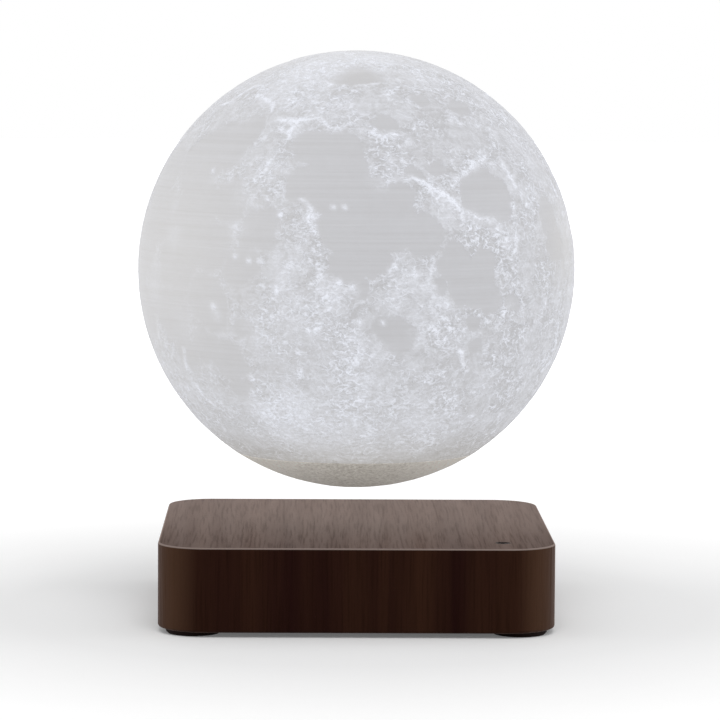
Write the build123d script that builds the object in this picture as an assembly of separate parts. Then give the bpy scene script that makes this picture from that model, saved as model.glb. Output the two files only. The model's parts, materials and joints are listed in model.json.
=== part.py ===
from build123d import *
import math
import os

# Levitating moon lamp, in millimetres.
# The origin is on the table at the middle of the base, +Z is up and -Y is the front.

# Driving sizes of the whole lamp
moon_dia = 150.0
base_width = 132.0
case_height = 28.2
levitation_gap = 12.7
foot_proud = 1.6
overrun = 2.0

# Running gaps and seats
magnet_gap = 0.3
glue_gap = 0.15
drop_in_gap = 0.3
bore_gap = 0.1
screw_gap = 0.05

# Wooden case, milled from below
case_corner_radius = 16.0
case_wall = 8.0
case_top_wall = 3.0
pocket_corner_radius = 18.0
top_edge_ease = 0.7
bottom_edge_ease = 1.0
plug_hole_dia = 12.0

# Bottom cover with its bosses, lip, ribs and vents
cover_rim = 2.2
cover_thickness = 2.4
cover_fit = 0.2
boss_dia = 7.4
boss_floor = 0.6
lip_thickness = 1.4
lip_height = 2.2
rib_thickness = 1.4
rib_height_share = 0.43
vent_length = 17.0
vent_width = 1.8
vent_pitch = 4.4
vent_rows = 2
vents_per_row = 6
vent_row_pitch = 24.0

# Screws that close the case, under the feet
case_screw_inset = 11.0
case_screw_shank_dia = 2.8
case_screw_head_dia = 5.4
case_screw_head_height = 1.1
case_screw_length = 9.5
case_screw_sink = 0.2

# Rubber feet
foot_inset = 12.0
foot_dia = 18.4
foot_tread_dia = 17.0
foot_dimple_dia = 10.0
foot_dimple_depth = 0.3

# Control board and the screws that hold it with the magnet tray
board_edge_gap = 2.5
board_thickness = 1.6
board_corner_radius = 13.0
module_screw_dia = 2.9
module_screw_head_dia = 5.5
module_screw_head_height = 1.8
module_screw_tip_gap = 0.6

# Magnet tray, ring magnet and steel yoke
ring_inner_share = 0.65
ring_height = 9.0
ring_edge = 0.8
yoke_thickness = 1.4
yoke_hole_dia = 18.0
tray_floor = 1.2
tray_wall = 1.6
tray_flange_height = 1.2
tray_flange_reach = 8.6
tray_lug_reach = 14.1
tray_lug_width = 9.0
tray_lug_height = 3.0
post_dia = 5.0
header_slot_gap = 0.6
lead_hole_dia = 3.0

# Electromagnets: four coils in the ring
coil_ring_gap = 1.0
bobbin_share = 0.36
core_share = 0.39
bobbin_flange = 0.8
bobbin_barrel = 0.8
winding_inset = 0.5
coil_height_share = 0.96
lead_post_width = 1.2
lead_post_height = 1.6

# Sensor board between the coils
sensor_board_gap = 1.5
sensor_board_thickness = 1.0
sensor_board_level_share = 0.62
sensor_width = 4.0
sensor_height = 3.0
sensor_thickness = 1.5
sensor_offset_share = 0.4
header_pins = 4
header_pitch = 2.54
header_depth = 2.5
header_height = 2.5
header_pin = 0.64

# Transmitter coil on the tray's flange
transmitter_coil_inner_gap = 0.7
transmitter_coil_height = 1.2
transmitter_coil_inset = 0.3

# Chips and parts on the control board
controller_width = 7.0
controller_height = 1.2
controller_pins = 5
driver_width = 3.9
driver_length = 4.9
driver_height = 1.2
driver_pins = 4
driver_offset = 22.0
controller_offset = 20.0
transmitter_chip_x = 24.0
transmitter_chip_y = -24.0
pin_width = 0.4
pin_length = 1.0
pin_thickness = 0.25
capacitor_dia = 8.0
capacitor_top_gap = 0.5
capacitor_base = 1.0
capacitor_groove = 0.5
capacitor_groove_level_share = 0.3
capacitor_side_inset = 27.0
capacitor_edge_gap = 0.6
inductor_width = 9.0
inductor_height = 5.0
inductor_corner = 1.6
inductor_dish = 0.4
film_capacitor_depth = 6.0
film_capacitor_width = 13.0
film_capacitor_top_gap = 2.9
film_capacitor_edge = 0.8
side_part_edge_gap = 1.0

# Power inlet
jack_width = 9.0
jack_height = 11.0
jack_top_gap = 0.9
jack_depth = 14.4
jack_front_depth = 3.4
jack_bore_dia = 6.3
jack_bore_depth = 9.6
jack_bore_height = 6.5
jack_base_height = 3.0
jack_pin_dia = 2.1
jack_pin_length = 8.6
jack_shank_dia = 1.6
jack_pin_head_dia = 4.0
jack_pin_head = 0.6
jack_pin_lug_width = 2.4
contact_width = 2.2
contact_thickness = 0.3
contact_length = 7.0
contact_slot_gap = 0.2

# Touch control under the front right corner
touch_side_inset = 17.5
touch_front_inset = 15.1
touch_mark_dia = 5.2
touch_mark_line = 0.8
touch_dot_dia = 1.2
touch_mark_depth = 0.4
touch_mark_below = 0.05
touch_pad_dia = 6.4
touch_pad_thickness = 0.3
touch_spring_dia = 4.4
touch_spring_wall = 0.5

# Moon shell and cap
shell_wall = 1.6
basin_depth = 0.5
crater_depth = 0.8
cap_height = 12.5
cap_boss_width = 10.0
cap_magnet_wall = 1.4

# Floating magnet and its holder
magnet_dia = 38.0
magnet_height = 9.0
magnet_edge = 0.5
magnet_seat_depth = 8.2
holder_thickness = 1.2
holder_wall = 1.3
holder_fit = 0.4
holder_screw_inset = 6.2
holder_screw_dia = 1.9
holder_screw_head_dia = 3.4
holder_screw_head_height = 1.2
holder_screw_length = 3.0
holder_screws_count = 3
holder_post_dia = 4.4
holder_post_height = 1.4
holder_post_inset = 12.0

# Receiver coil and ferrite
receiver_coil_width = 4.4
receiver_coil_height = 1.2
receiver_coil_gap = 0.5
ferrite_thickness = 0.6

# Lamp board
lamp_board_overhang = 0.5
lamp_board_thickness = 1.2
lamp_screw_head_dia = 3.6
lamp_screw_head_height = 1.2
lamp_screw_dia = 1.9
lamp_screw_length = 2.2
led_length = 3.5
led_width = 2.8
led_height = 0.8
led_rim = 0.4
led_count = 6
led_edge_inset = 5.5
rectifier_width = 4.6
rectifier_height = 1.5
lamp_chip_offset = 8.4
lamp_chip_turn = 30.0
storage_capacitor_dia = 6.3
storage_capacitor_height = 5.4

# Places of the wide dark basins on the moon: longitude, latitude, radius as a share of the moon's
# radius. Longitude 0 faces the front and grows towards +X.
basins_degrees_shares = [
    (-68, 34, 0.12),
    (-51, 36, 0.14),
    (-33, 17, 0.11),
    (-13, 32, 0.15),
    (-16, 20, 0.14),
    (-4, 23, 0.18),
    (2, 12, 0.17),
    (16, 14, 0.12),
    (-3, 61, 0.10),
    (8, 43, 0.06),
    (37, 23, 0.13),
    (28, -2, 0.14),
    (9, -14, 0.09),
    (-52, -6, 0.14),
    (-60, -21, 0.14),
    (100, 18, 0.12),
    (205, -35, 0.11),
]

# Places of the larger craters: longitude, latitude, radius as a share of the moon's radius
craters_degrees_shares = [
    (-11, -20, 0.050),
    (-3, -34, 0.060),
    (15, -38, 0.070),
    (60, 38, 0.050),
    (80, -20, 0.060),
    (120, 0, 0.070),
    (172, -12, 0.080),
    (187, 28, 0.060),
    (222, 22, 0.070),
    (235, -18, 0.060),
]

# Plan of the base, from its walls inwards
half_width = base_width / 2
pocket_width = base_width - 2 * case_wall
rear_wall_face = pocket_width / 2
rebate_width = base_width - 2 * cover_rim
rebate_corner_radius = case_corner_radius - cover_rim
cover_width = rebate_width - 2 * cover_fit
case_screw_place = half_width - case_screw_inset
foot_place = half_width - foot_inset
touch_x = half_width - touch_side_inset
touch_y = touch_front_inset - half_width
board_width = pocket_width - 2 * board_edge_gap
capacitor_x = board_width / 2 - capacitor_side_inset
jack_face = rear_wall_face - drop_in_gap

# Plan of the levitation module, in the room that the jack leaves
tray_outer_radius = jack_face - jack_depth - jack_pin_head - drop_in_gap
tray_inner_radius = tray_outer_radius - tray_wall
tray_flange_radius = tray_outer_radius + tray_flange_reach
lug_radius = tray_outer_radius + tray_lug_reach
ring_outer_dia = 2 * (tray_inner_radius - drop_in_gap)
ring_inner_dia = ring_outer_dia * ring_inner_share
coil_room = ring_inner_dia - 2 * coil_ring_gap
bobbin_flange_dia = coil_room * bobbin_share
coil_circle_dia = coil_room - bobbin_flange_dia
core_dia = bobbin_flange_dia * core_share
sensor_board_width = coil_circle_dia - bobbin_flange_dia - 2 * sensor_board_gap
header_y = -(post_dia + header_depth) / 2 - header_slot_gap

# Plan of what the moon holds, from the magnet outwards
moon_radius = moon_dia / 2
shell_inner_radius = moon_radius - shell_wall
magnet_pocket_radius = magnet_dia / 2 + magnet_gap
hat_radius = magnet_pocket_radius + holder_wall
receiver_inner_radius = hat_radius + receiver_coil_gap
receiver_outer_radius = receiver_inner_radius + receiver_coil_width
mouth_radius = math.sqrt(shell_inner_radius**2 - (moon_radius - cap_height) ** 2)
holder_radius = mouth_radius - holder_fit
holder_screw_radius = mouth_radius - holder_screw_inset
lamp_board_radius = receiver_outer_radius + lamp_board_overhang
led_radius = lamp_board_radius - led_edge_inset
post_radius = lamp_board_radius - holder_post_inset

# Levels, from the table up
case_bottom = foot_proud
case_top = case_bottom + case_height
ceiling = case_top - case_top_wall
cover_top = case_bottom + cover_thickness
transmitter_coil_top = ceiling - drop_in_gap
flange_top = transmitter_coil_top - transmitter_coil_height
flange_bottom = flange_top - tray_flange_height
board_top = flange_bottom - jack_top_gap - jack_height
board_bottom = board_top - board_thickness
boss_height = board_bottom - cover_top
lug_top = board_top + tray_lug_height
tray_floor_top = board_top + tray_floor
yoke_top = tray_floor_top + yoke_thickness
ring_top = yoke_top + ring_height
coil_height = ring_height * coil_height_share
sensor_board_bottom = yoke_top + ring_height * sensor_board_level_share
sensor_board_top = sensor_board_bottom + sensor_board_thickness
jack_level = board_top + jack_bore_height
capacitor_height = flange_bottom - capacitor_top_gap - board_top
moon_bottom = case_top + levitation_gap
moon_level = moon_bottom + moon_radius
seam_level = moon_bottom + cap_height
magnet_bed = seam_level - magnet_seat_depth
magnet_bottom = magnet_bed + magnet_gap
magnet_top = magnet_bottom + magnet_height
holder_level = seam_level + glue_gap
holder_flange_top = holder_level + holder_thickness
hat_top = magnet_top + magnet_gap + holder_thickness
lamp_board_bottom = hat_top + holder_post_height
lamp_board_top = lamp_board_bottom + lamp_board_thickness

quarter = 90.0
half_turn = 180.0
full_turn = 360.0

corners = {
    "front_left": (-1, -1),
    "front_right": (1, -1),
    "back_left": (-1, 1),
    "back_right": (1, 1),
}
sides = {"front": (0, -1), "right": (1, 0), "back": (0, 1), "left": (-1, 0)}


def shell_floor(radius, reach):
    """Level of a sphere of the given radius about the moon's middle, at a reach from the axis."""
    return moon_level - math.sqrt(radius**2 - reach**2)


def disc(radius, bottom, top):
    """Round solid about the Z axis between two levels."""
    return Pos(0, 0, bottom) * extrude(Circle(radius), top - bottom)


def ring(outer, inner, bottom, top):
    """Flat ring about the Z axis between two levels."""
    return Pos(0, 0, bottom) * extrude(Circle(outer) - Circle(inner), top - bottom)


def rounded_block(width, corner, bottom, top):
    """Rounded square block about the Z axis between two levels."""
    return Pos(0, 0, bottom) * extrude(RectangleRounded(width, width, corner), top - bottom)


def box(width, depth, bottom, top):
    """Plain block about the Z axis between two levels."""
    return Pos(0, 0, bottom) * extrude(Rectangle(width, depth), top - bottom)


def eased(shape, level, size):
    """The shape with its edges at one level rounded."""
    edges = shape.edges().filter_by(lambda edge: abs(edge.bounding_box().min.Z - level) < size / 4)
    flat = edges.filter_by(lambda edge: edge.bounding_box().max.Z - level < size / 4)
    return fillet(flat, size)


def at_corners(place):
    """The four places at one distance from both middle planes."""
    return [Pos(x * place, y * place, 0) for x, y in corners.values()]


def on_lugs():
    """The four places of the module screws, on the diagonals."""
    step = lug_radius / math.sqrt(2)
    return [Pos(x * step, y * step, 0) for x, y in corners.values()]


def group(solids):
    """Separate solids kept in one node."""
    return Compound(children=list(solids))


def flipped(shape, level):
    """A part built upwards from zero, hung upside down under a level."""
    return Pos(0, 0, level) * Rot(half_turn, 0, 0) * shape


def wooden_case():
    """Rounded square block of wood, milled out from below, with the plug hole in its rear wall."""
    case = rounded_block(base_width, case_corner_radius, case_bottom, case_top)
    case = eased(case, case_top, top_edge_ease)
    case = eased(case, case_bottom, bottom_edge_ease)
    case -= rounded_block(pocket_width, pocket_corner_radius, case_bottom - overrun, ceiling)
    case -= rounded_block(rebate_width, rebate_corner_radius, case_bottom - overrun, cover_top)
    pilot_radius = case_screw_shank_dia / 2 + screw_gap
    pilot_top = case_bottom + case_screw_head_height + case_screw_length + 2 * case_screw_sink
    for place in at_corners(case_screw_place):
        case -= place * disc(pilot_radius, case_bottom, pilot_top)
    case -= plug_way()
    case -= Pos(touch_x, touch_y, 0) * disc(
        touch_mark_dia / 2 + screw_gap, case_top - touch_mark_depth, case_top + overrun
    )
    return case


def plug_way():
    """The round way for the plug through the rear wall."""
    start = Pos(0, rear_wall_face - overrun, jack_level) * Rot(-quarter, 0, 0)
    return start * extrude(Circle(plug_hole_dia / 2), case_wall + 2 * overrun)


def bottom_cover():
    """Moulded plate that closes the case, with bosses, a locating lip, ribs and vent slots."""
    cover = rounded_block(cover_width, rebate_corner_radius - cover_fit, case_bottom, cover_top)
    cover += cover_lip()
    for place in (-1, 1):
        step = place * lug_radius / math.sqrt(2)
        length = pocket_width - 2 * (drop_in_gap + lip_thickness / 2)
        rib_top = cover_top + boss_height * rib_height_share
        cover += Pos(0, step, 0) * box(length, rib_thickness, cover_top, rib_top)
        cover += Pos(step, 0, 0) * box(rib_thickness, length, cover_top, rib_top)
    for place in on_lugs():
        cover += place * disc(boss_dia / 2, cover_top, board_bottom)
    pilot_radius = module_screw_dia / 2 + screw_gap
    for place in on_lugs():
        cover -= place * disc(pilot_radius, cover_top - boss_floor, board_bottom + overrun)
    head_radius = case_screw_head_dia / 2 + cover_fit
    head_top = case_bottom + case_screw_sink + case_screw_head_height
    for place in at_corners(case_screw_place):
        cover -= place * disc(case_screw_shank_dia / 2 + cover_fit, case_bottom, cover_top + overrun)
        cover -= place * disc(head_radius, case_bottom - overrun, head_top)
    return cover - vents()


def cover_lip():
    """Low wall that drops into the case's pocket and centres the cover."""
    outer = pocket_width - 2 * drop_in_gap
    inner = outer - 2 * lip_thickness
    corner = pocket_corner_radius - drop_in_gap
    wall = rounded_block(outer, corner, cover_top, cover_top + lip_height)
    return wall - rounded_block(inner, corner - lip_thickness, cover_top, cover_top + lip_height)


def vents():
    """Slots for air in two rows."""
    slots = []
    for row in range(vent_rows):
        y = (row - (vent_rows - 1) / 2) * vent_row_pitch
        for column in range(vents_per_row):
            x = (column - (vents_per_row - 1) / 2) * vent_pitch
            slot = box(vent_width, vent_length, case_bottom - overrun, cover_top + overrun)
            slots.append(Pos(x, y, 0) * slot)
    return slots


def screw(shank_dia, length, head_dia, head_height):
    """Plain screw pointing down, with the underside of its head at zero."""
    return disc(head_dia / 2, 0, head_height) + disc(shank_dia / 2, -length, 0)


def cover_screws():
    """Four screws up through the cover into the wood."""
    body = flipped(
        screw(case_screw_shank_dia, case_screw_length, case_screw_head_dia, case_screw_head_height),
        case_bottom + case_screw_sink + case_screw_head_height,
    )
    return group(place * body for place in at_corners(case_screw_place))


def rubber_foot():
    """Round foot, narrower at the tread, with a shallow dimple."""
    profile = Polyline(
        (0, 0, foot_dimple_depth),
        (foot_dimple_dia / 2, 0, 0),
        (foot_tread_dia / 2, 0, 0),
        (foot_dia / 2, 0, foot_proud / 2),
        (foot_dia / 2, 0, foot_proud),
        (0, 0, foot_proud),
        close=True,
    )
    return revolve(make_face(profile), Axis.Z)


def control_board():
    """Main circuit board on the cover's bosses."""
    board = rounded_block(board_width, board_corner_radius, board_bottom, board_top)
    for place in on_lugs():
        hole = disc(module_screw_dia / 2 + bore_gap, board_bottom - overrun, board_top + overrun)
        board -= place * hole
    return board


def module_screws():
    """Four screws down through the tray's lugs and the board into the cover's bosses."""
    length = lug_top - cover_top - module_screw_tip_gap
    body = screw(module_screw_dia, length, module_screw_head_dia, module_screw_head_height)
    return group(place * Pos(0, 0, lug_top) * body for place in on_lugs())


def magnet_tray():
    """Flanged cup with four lugs that holds the ring magnet, the coils and the sensor post."""
    tray = disc(tray_outer_radius, board_top, flange_top)
    tray += disc(tray_flange_radius, flange_bottom, flange_top)
    for index in range(len(corners)):
        turn = Rot(0, 0, quarter / 2 + quarter * index)
        arm = Pos(lug_radius / 2, 0, 0) * box(lug_radius, tray_lug_width, board_top, lug_top)
        tray += turn * (arm + Pos(lug_radius, 0, 0) * disc(tray_lug_width / 2, board_top, lug_top))
    tray -= disc(tray_inner_radius, tray_floor_top, flange_top + overrun)
    for place in on_lugs():
        hole = disc(module_screw_dia / 2 + bore_gap, board_top - overrun, lug_top + overrun)
        tray -= place * hole
    tray += disc(post_dia / 2, tray_floor_top, sensor_board_bottom)
    slot_width = header_pins * header_pitch + header_slot_gap
    slot_depth = header_depth + header_slot_gap
    tray -= Pos(0, header_y, 0) * box(slot_width, slot_depth, board_top - overrun, tray_floor_top)
    return tray


def yoke_plate():
    """Steel disc under the ring magnet and the coil cores, with lead holes."""
    middle = Circle(yoke_hole_dia / 2)
    plate = disc(ring_outer_dia / 2, tray_floor_top, yoke_top)
    plate -= Pos(0, 0, tray_floor_top) * extrude(middle, yoke_thickness)
    for index in range(len(sides)):
        place = Rot(0, 0, quarter / 2 + quarter * index) * Pos(coil_circle_dia / 2 + core_dia / 4, 0, 0)
        plate -= place * disc(lead_hole_dia / 2, tray_floor_top - overrun, yoke_top + overrun)
    return plate


def ring_magnet():
    """Large ring magnet that carries the moon's weight."""
    body = ring(ring_outer_dia / 2, ring_inner_dia / 2, yoke_top, ring_top)
    return chamfer(body.edges().filter_by(GeomType.CIRCLE), ring_edge)


def coil_core():
    """Iron core of one electromagnet."""
    return disc(core_dia / 2, yoke_top, yoke_top + coil_height)


def coil_bobbin():
    """Bobbin of one electromagnet, with two flanges and two posts for the wire ends."""
    bore = core_dia / 2 + bore_gap
    top = yoke_top + coil_height
    bobbin = disc(bore + bobbin_barrel, yoke_top, top)
    bobbin += disc(bobbin_flange_dia / 2, yoke_top, yoke_top + bobbin_flange)
    bobbin += disc(bobbin_flange_dia / 2, top - bobbin_flange, top)
    for side in (-1, 1):
        post = Pos(side * (bobbin_flange_dia / 2 - lead_post_width), 0, 0)
        bobbin += post * box(lead_post_width, lead_post_width, top - bobbin_flange, top + lead_post_height)
    return bobbin - disc(bore, yoke_top - overrun, top + overrun)


def coil_winding():
    """Copper winding between the bobbin's flanges."""
    inner = core_dia / 2 + bore_gap + bobbin_barrel
    outer = bobbin_flange_dia / 2 - winding_inset
    bottom = yoke_top + bobbin_flange
    top = yoke_top + coil_height - bobbin_flange
    return ring(outer, inner, bottom, top)


def coil_place(side):
    """Place of one electromagnet, its posts across the direction to the axis."""
    x, y = sides[side]
    radius = coil_circle_dia / 2
    return Pos(x * radius, y * radius, 0) * Rot(0, 0, quarter * abs(x))


def sensor_board():
    """Small board on the tray's post, level with the middle of the coils."""
    return box(sensor_board_width, sensor_board_width, sensor_board_bottom, sensor_board_top)


def hall_sensor(standing):
    """Field sensor: lying flat on the board or standing on it."""
    if standing:
        return box(sensor_width, sensor_thickness, sensor_board_top, sensor_board_top + sensor_height)
    return box(sensor_width, sensor_height, sensor_board_top, sensor_board_top + sensor_thickness)


def sensor_header():
    """Pin header between the control board and the sensor board."""
    width = header_pins * header_pitch
    header = Pos(0, header_y, 0) * box(width, header_depth, board_top, board_top + header_height)
    for index in range(header_pins):
        x = (index - (header_pins - 1) / 2) * header_pitch
        header += Pos(x, header_y, 0) * box(header_pin, header_pin, board_top, sensor_board_bottom)
    return header


def transmitter_coil():
    """Flat coil on the tray's flange that feeds the moon with power."""
    outer = tray_flange_radius - transmitter_coil_inset
    inner = tray_inner_radius + transmitter_coil_inner_gap
    return ring(outer, inner, flange_top, transmitter_coil_top)


def chip(width, length, height, pins, all_round):
    """Chip with its leads, standing on level zero."""
    body = box(width, length, pin_thickness, height)
    row_turns = [quarter * row for row in range(len(sides))] if all_round else [0, half_turn]
    lead_length = pin_length + pin_width
    reach = width / 2 - pin_width + lead_length / 2
    pitch = length / pins
    leads = []
    for turn in row_turns:
        for index in range(pins):
            along = (index - (pins - 1) / 2) * pitch
            lead = Pos(reach, along, 0) * box(lead_length, pin_width, 0, 2 * pin_thickness)
            leads.append(Rot(0, 0, turn) * lead)
    return body + leads


def microcontroller():
    """Square chip that closes the levitation loop, under the board."""
    body = chip(controller_width, controller_width, controller_height, controller_pins, True)
    return Pos(0, -controller_offset, 0) * flipped(body, board_bottom)


def driver_chip(x, y):
    """Small chip with leads on two sides, under the board."""
    body = chip(driver_width, driver_length, driver_height, driver_pins, False)
    return Pos(x, y, 0) * flipped(body, board_bottom)


def capacitor(x):
    """Can capacitor with its crimp groove, near the rear edge of the board."""
    radius = capacitor_dia / 2
    groove = board_top + capacitor_height * capacitor_groove_level_share
    can = disc(radius, board_top, board_top + capacitor_height)
    can -= ring(radius + overrun, radius - capacitor_groove / 2, groove, groove + capacitor_groove)
    y = board_width / 2 - capacitor_edge_gap - radius
    return Pos(x, y, 0) * can


def power_inductor():
    """Shielded inductor with a dished top, at the left edge of the board."""
    top = board_top + inductor_height
    body = rounded_block(inductor_width, inductor_corner, board_top, top)
    dish = ring(inductor_width / 2 - inductor_corner / 2, inductor_width / 4, top - inductor_dish, top)
    x = side_part_edge_gap + inductor_width / 2 - board_width / 2
    return Pos(x, 0, 0) * (body - dish)


def film_capacitor():
    """Resonance capacitor of the transmitter, at the right edge of the board."""
    top = flange_bottom - film_capacitor_top_gap
    body = box(film_capacitor_depth, film_capacitor_width, board_top, top)
    body = fillet(body.edges().filter_by(Axis.Z), film_capacitor_edge)
    return Pos(board_width / 2 - side_part_edge_gap - film_capacitor_depth / 2, 0, 0) * body


def rearward(level):
    """Plane at a level above the table that faces the rear wall, at the jack's face."""
    return Pos(0, jack_face, level) * Rot(quarter, 0, 0)


def dc_socket():
    """Power jack: a square front, a round barrel behind it and a flat base on the board."""
    front = Pos(0, jack_face - jack_front_depth / 2, 0) * box(
        jack_width, jack_front_depth, board_top, board_top + jack_height
    )
    barrel = rearward(jack_level) * extrude(Circle(jack_width / 2), jack_depth)
    base = Pos(0, jack_face - jack_depth / 2, 0) * box(
        jack_width, jack_depth, board_top, board_top + jack_base_height
    )
    body = front + barrel + base
    body -= rearward(jack_level) * extrude(Circle(jack_bore_dia / 2), jack_bore_depth)
    body -= rearward(jack_level) * extrude(Circle(jack_shank_dia / 2 + screw_gap), jack_depth)
    slot_length = contact_length + contact_thickness + contact_slot_gap
    slot_start = jack_face - jack_front_depth
    slot = Pos(0, slot_start - slot_length / 2, 0) * box(
        contact_width + 2 * contact_slot_gap, slot_length, board_top, jack_level - jack_pin_dia
    )
    return body - slot


def dc_socket_pin():
    """Centre pin of the jack, riveted behind it, with its lug down to the board."""
    back = jack_face - jack_depth
    root = Pos(0, jack_face - jack_bore_depth, jack_level)
    pin = root * Rot(-quarter, 0, 0) * extrude(Circle(jack_pin_dia / 2), jack_pin_length)
    shank_length = jack_depth - jack_bore_depth
    pin += root * Rot(quarter, 0, 0) * extrude(Circle(jack_shank_dia / 2), shank_length)
    head = rearward(jack_level) * Pos(0, 0, jack_depth) * extrude(
        Circle(jack_pin_head_dia / 2), jack_pin_head
    )
    lug = Pos(0, back - jack_pin_head / 2, 0) * box(
        jack_pin_lug_width, jack_pin_head, board_top, jack_level
    )
    return pin + head + lug


def dc_socket_contact():
    """Bent spring strip that touches the plug from below."""
    top = jack_level - jack_bore_dia / 2 + contact_thickness
    start = jack_face - jack_front_depth - contact_slot_gap
    strip = Pos(0, start - contact_length / 2, 0) * box(
        contact_width, contact_length, top - contact_thickness, top
    )
    leg = Pos(0, start - contact_length + contact_thickness / 2, 0) * box(
        contact_width, contact_thickness, board_top, top
    )
    return strip + leg


def touch_mark():
    """Inlaid ring with a dot that shows where to touch."""
    top = case_top - touch_mark_below
    bottom = case_top - touch_mark_depth
    middle = (bottom + top) / 2
    radius = touch_mark_dia / 2
    mark = disc(radius, bottom, top)
    mark -= ring(radius - touch_mark_line, touch_dot_dia / 2, middle, top)
    return Pos(touch_x, touch_y, 0) * mark


def touch_pad():
    """Copper disc glued under the wood, beneath the mark."""
    return Pos(touch_x, touch_y, 0) * disc(touch_pad_dia / 2, ceiling - touch_pad_thickness, ceiling)


def touch_spring():
    """Close-wound contact spring from the control board up to the pad."""
    outer = touch_spring_dia / 2
    coil = ring(outer, outer - touch_spring_wall, board_top, ceiling - touch_pad_thickness)
    return Pos(touch_x, touch_y, 0) * coil


def floating_magnet():
    """Disc magnet that floats over the base."""
    body = disc(magnet_dia / 2, magnet_bottom, magnet_top)
    return chamfer(body.edges().filter_by(GeomType.CIRCLE), magnet_edge)


def outward(longitude, latitude):
    """Frame on the moon's surface whose Z points away from its middle."""
    turn = Rot(0, 0, longitude - quarter) * Rot(0, quarter - latitude, 0)
    return Pos(0, 0, moon_level) * turn * Pos(0, 0, moon_radius)


def stamp_tool(places, depth):
    """Everything within round outlines on the moon that lies above a floor at one depth."""
    height = moon_radius / 4
    stamps = [
        outward(longitude, latitude) * Pos(0, 0, -height / 2) * extrude(Circle(share * moon_radius), height)
        for longitude, latitude, share in places
    ]
    return stamps[0] + stamps[1:] - Pos(0, 0, moon_level) * Sphere(moon_radius - depth)


def moon_shell():
    """Printed hollow moon with basins and craters, open at the bottom."""
    middle = Pos(0, 0, moon_level)
    shell = middle * Sphere(moon_radius)
    shell -= stamp_tool(basins_degrees_shares, basin_depth)
    shell -= stamp_tool(craters_degrees_shares, crater_depth)
    shell -= middle * Sphere(shell_inner_radius)
    return shell - box(moon_dia, moon_dia, moon_bottom - overrun, seam_level + glue_gap)


def moon_cap():
    """Closed bottom of the moon: a thin bowl with the magnet's bed and the holder's seat."""
    outer_reach = math.sqrt(moon_radius**2 - (moon_level - seam_level) ** 2)
    bed_wall = magnet_pocket_radius + cap_magnet_wall
    seat = outer_reach - shell_wall - cap_boss_width
    seat_floor = shell_floor(shell_inner_radius, seat)
    bed_foot = shell_floor(shell_inner_radius, bed_wall)
    middle_reach = (seat + bed_wall) / 2
    outline = Edge.make_three_point_arc(
        (0, 0, moon_bottom),
        (outer_reach / 2, 0, shell_floor(moon_radius, outer_reach / 2)),
        (outer_reach, 0, seam_level),
    )
    inside = Edge.make_three_point_arc(
        (seat, 0, seat_floor),
        (middle_reach, 0, shell_floor(shell_inner_radius, middle_reach)),
        (bed_wall, 0, bed_foot),
    )
    rim = Polyline((outer_reach, 0, seam_level), (seat, 0, seam_level), (seat, 0, seat_floor))
    bed = Polyline(
        (bed_wall, 0, bed_foot),
        (bed_wall, 0, seam_level),
        (magnet_pocket_radius, 0, seam_level),
        (magnet_pocket_radius, 0, magnet_bed),
        (0, 0, magnet_bed),
        (0, 0, moon_bottom),
    )
    cap = revolve(make_face([outline, *rim.edges(), inside, *bed.edges()]), Axis.Z)
    for place in holder_screw_places():
        level = seam_level - holder_screw_length
        cap -= place * disc(holder_screw_dia / 2 + screw_gap, level, seam_level + overrun)
    return cap


def holder_screw_places():
    """Places of the holder's screws round its flange."""
    turns = [full_turn / holder_screws_count * index for index in range(holder_screws_count)]
    return [Rot(0, 0, turn) * Pos(holder_screw_radius, 0, 0) for turn in turns]


def post_places():
    """Places of the lamp board's posts and screws, between the LEDs and the chips."""
    turns = [quarter + full_turn / holder_screws_count * n for n in range(holder_screws_count)]
    return [Rot(0, 0, turn) * Pos(post_radius, 0, 0) for turn in turns]


def magnet_holder():
    """Hat-shaped moulding over the magnet, with a flange on the cap and three posts."""
    holder = disc(holder_radius, holder_level, holder_flange_top)
    holder += disc(hat_radius, holder_level, hat_top)
    holder -= disc(magnet_pocket_radius, holder_level - overrun, magnet_top + magnet_gap)
    for place in post_places():
        holder += place * disc(holder_post_dia / 2, hat_top, lamp_board_bottom)
        pilot = disc(lamp_screw_dia / 2 + screw_gap, hat_top, lamp_board_bottom + overrun)
        holder -= place * pilot
    for place in holder_screw_places():
        hole = disc(holder_screw_dia / 2 + bore_gap, holder_level - overrun, holder_flange_top + overrun)
        holder -= place * hole
    return holder


def holder_screws():
    """Three screws that hold the holder on the cap."""
    length = holder_screw_length + holder_flange_top - seam_level - screw_gap
    body = screw(holder_screw_dia, length, holder_screw_head_dia, holder_screw_head_height)
    return group(place * Pos(0, 0, holder_flange_top) * body for place in holder_screw_places())


def receiver_coil():
    """Flat coil round the hat, on the flange."""
    top = holder_flange_top + receiver_coil_height
    return ring(receiver_outer_radius, receiver_inner_radius, holder_flange_top, top)


def ferrite_disc():
    """Thin ferrite ring over the receiver coil."""
    bottom = holder_flange_top + receiver_coil_height
    return ring(receiver_outer_radius, receiver_inner_radius, bottom, bottom + ferrite_thickness)


def lamp_board():
    """Round board with the LEDs on top, on the holder's posts."""
    board = disc(lamp_board_radius, lamp_board_bottom, lamp_board_top)
    for place in post_places():
        hole = disc(lamp_screw_dia / 2 + bore_gap, hat_top, lamp_board_top + overrun)
        board -= place * hole
    return board


def lamp_board_screws():
    """Three screws that hold the lamp board on its posts."""
    body = screw(lamp_screw_dia, lamp_screw_length, lamp_screw_head_dia, lamp_screw_head_height)
    return group(place * Pos(0, 0, lamp_board_top) * body for place in post_places())


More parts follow.
